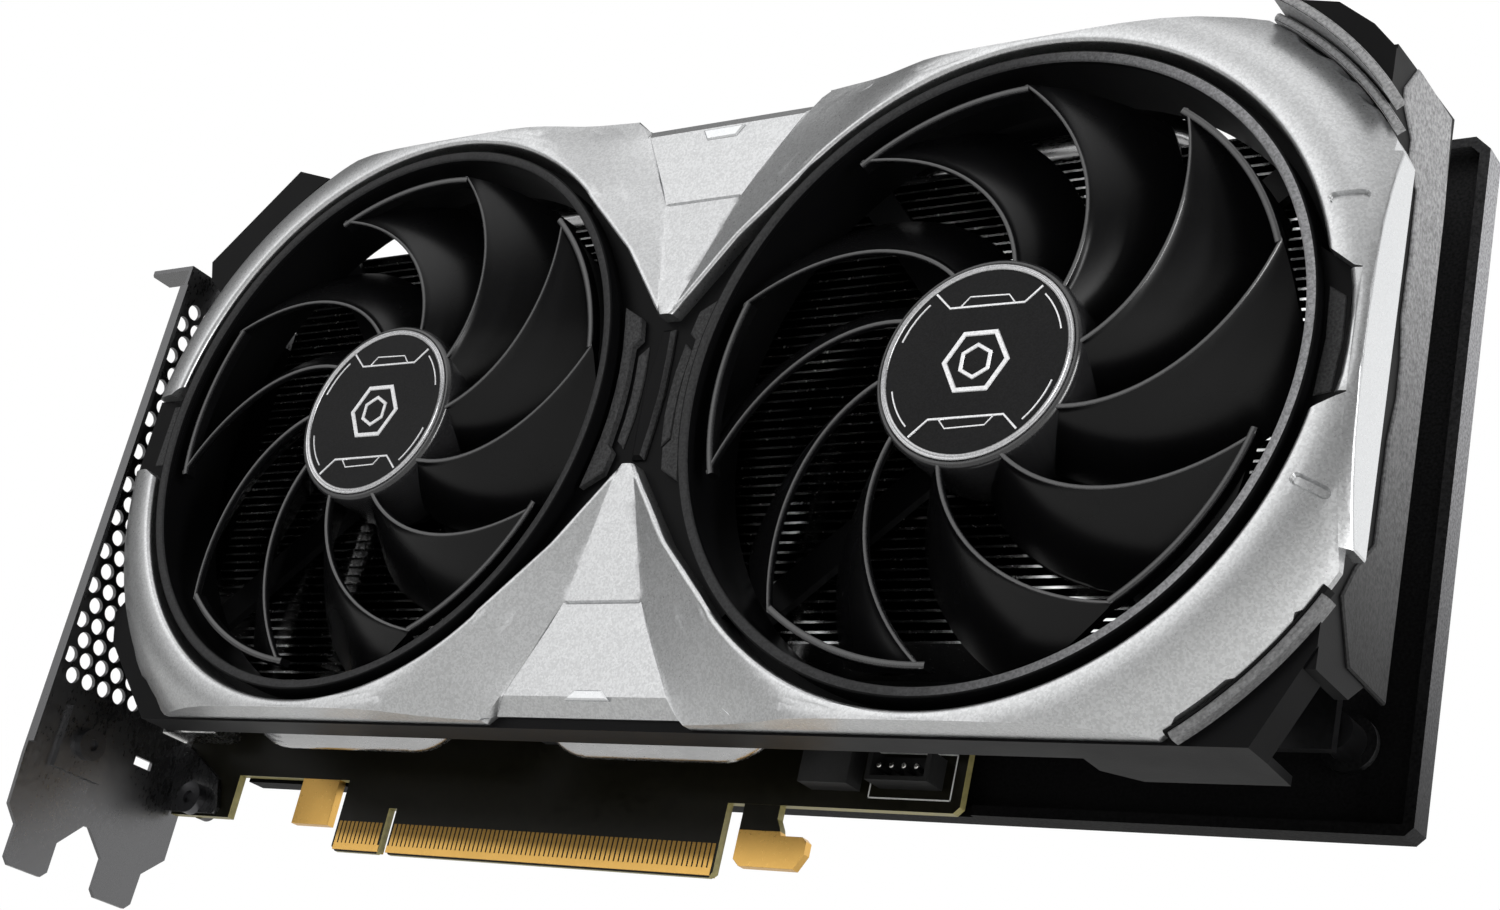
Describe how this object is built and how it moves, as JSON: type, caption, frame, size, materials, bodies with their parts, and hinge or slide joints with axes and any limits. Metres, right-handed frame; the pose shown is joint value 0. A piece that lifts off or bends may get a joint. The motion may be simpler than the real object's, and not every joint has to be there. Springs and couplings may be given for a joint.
{
  "type": "graphics card",
  "caption": "Dual-fan graphics card with a keyed edge connector, perforated bracket, finned cooler, silver shroud covers and a folded backplate that runs past the board.",
  "frame": {"origin": "centre of the key notch on the bottom edge of the edge connector, at mid-thickness of the board", "axes": "+X along the card from the bracket to the free end, -Y out of the fans, +Z away from the slot"},
  "size_m": [0.2562, 0.0432, 0.1413],
  "materials": {
    "solder_mask": "satin black solder mask",
    "gold": "gold plated",
    "substrate": "satin",
    "silicon": "polished",
    "chip_black": "matt moulded",
    "choke_grey": "matt sintered",
    "can_metal": "satin",
    "pad_grey": "soft matt",
    "socket_black": "satin moulded",
    "pin_metal": "bright",
    "header_white": "satin moulded",
    "lead_black": "satin",
    "bracket_steel": "nickel plated, dark satin",
    "screw_black": "black plated",
    "shell_metal": "nickel plated",
    "nickel": "nickel plated",
    "fin_aluminium": "bare satin",
    "plate_black": "black coated",
    "spring_steel": "satin",
    "backplate_black": "fine textured black",
    "shroud_black": "fine textured black",
    "cover_silver": "silver paint with a fine flake",
    "trim_white": "bright silver paint",
    "blade_black": "satin to gloss moulded",
    "motor_black": "satin moulded",
    "winding": "enamelled copper and laminations",
    "magnet": "matt",
    "bearing_bronze": "sintered",
    "shaft_steel": "ground",
    "badge": "dark grained face with a bright ring"
  },
  "bodies": {
    "card": {"backplate": "backplate_black", "backplate_screws": "screw_black", "base_plate": "plate_black", "bracket_screws": "screw_black", "capacitors": "can_metal", "chokes": "choke_grey", "cold_plate": "nickel", "displayport_sockets": "shell_metal", "edge_contacts": "gold", "fan_header": "header_white", "fan_lead": "lead_black", "fan_screws": "screw_black", "fin_stack_far": "fin_aluminium", "fin_stack_main": "fin_aluminium", "gpu_die": "silicon", "gpu_package": "substrate", "hdmi_socket": "shell_metal", "heat_pipes": "nickel", "io_bracket": "bracket_steel", "lower_cover": "cover_silver", "memory_chips": "chip_black", "motor_bearing_left": "bearing_bronze", "motor_bearing_right": "bearing_bronze", "motor_mount_left": "motor_black", "motor_mount_right": "motor_black", "motor_stator_left": "winding", "motor_stator_right": "winding", "pcb": "solder_mask", "plated_tabs": "gold", "power_connector": "socket_black", "power_pins": "pin_metal", "power_stages": "chip_black", "retention_bracket": "spring_steel", "retention_screws": "screw_black", "shroud": "shroud_black", "side_bar": "trim_white", "side_trim": "trim_white", "thermal_pads": "pad_grey", "upper_cover": "cover_silver"},
    "fan_left": {"rotor_left": "blade_black", "hub_badge_left": "badge", "magnet_ring_left": "magnet", "shaft_left": "shaft_steel"},
    "fan_right": {"rotor_right": "blade_black", "hub_badge_right": "badge", "magnet_ring_right": "magnet", "shaft_right": "shaft_steel"}
  },
  "joints": [
    {"name": "fan_left_spin", "type": "hinge", "parent": "card", "child": "fan_left", "pos_m": [0.0066, -0.03, 0.0683], "axis": [0, -1, 0], "continuous": true},
    {"name": "fan_right_spin", "type": "hinge", "parent": "card", "child": "fan_right", "pos_m": [0.1268, -0.03, 0.0683], "axis": [0, -1, 0], "continuous": true}
  ]
}
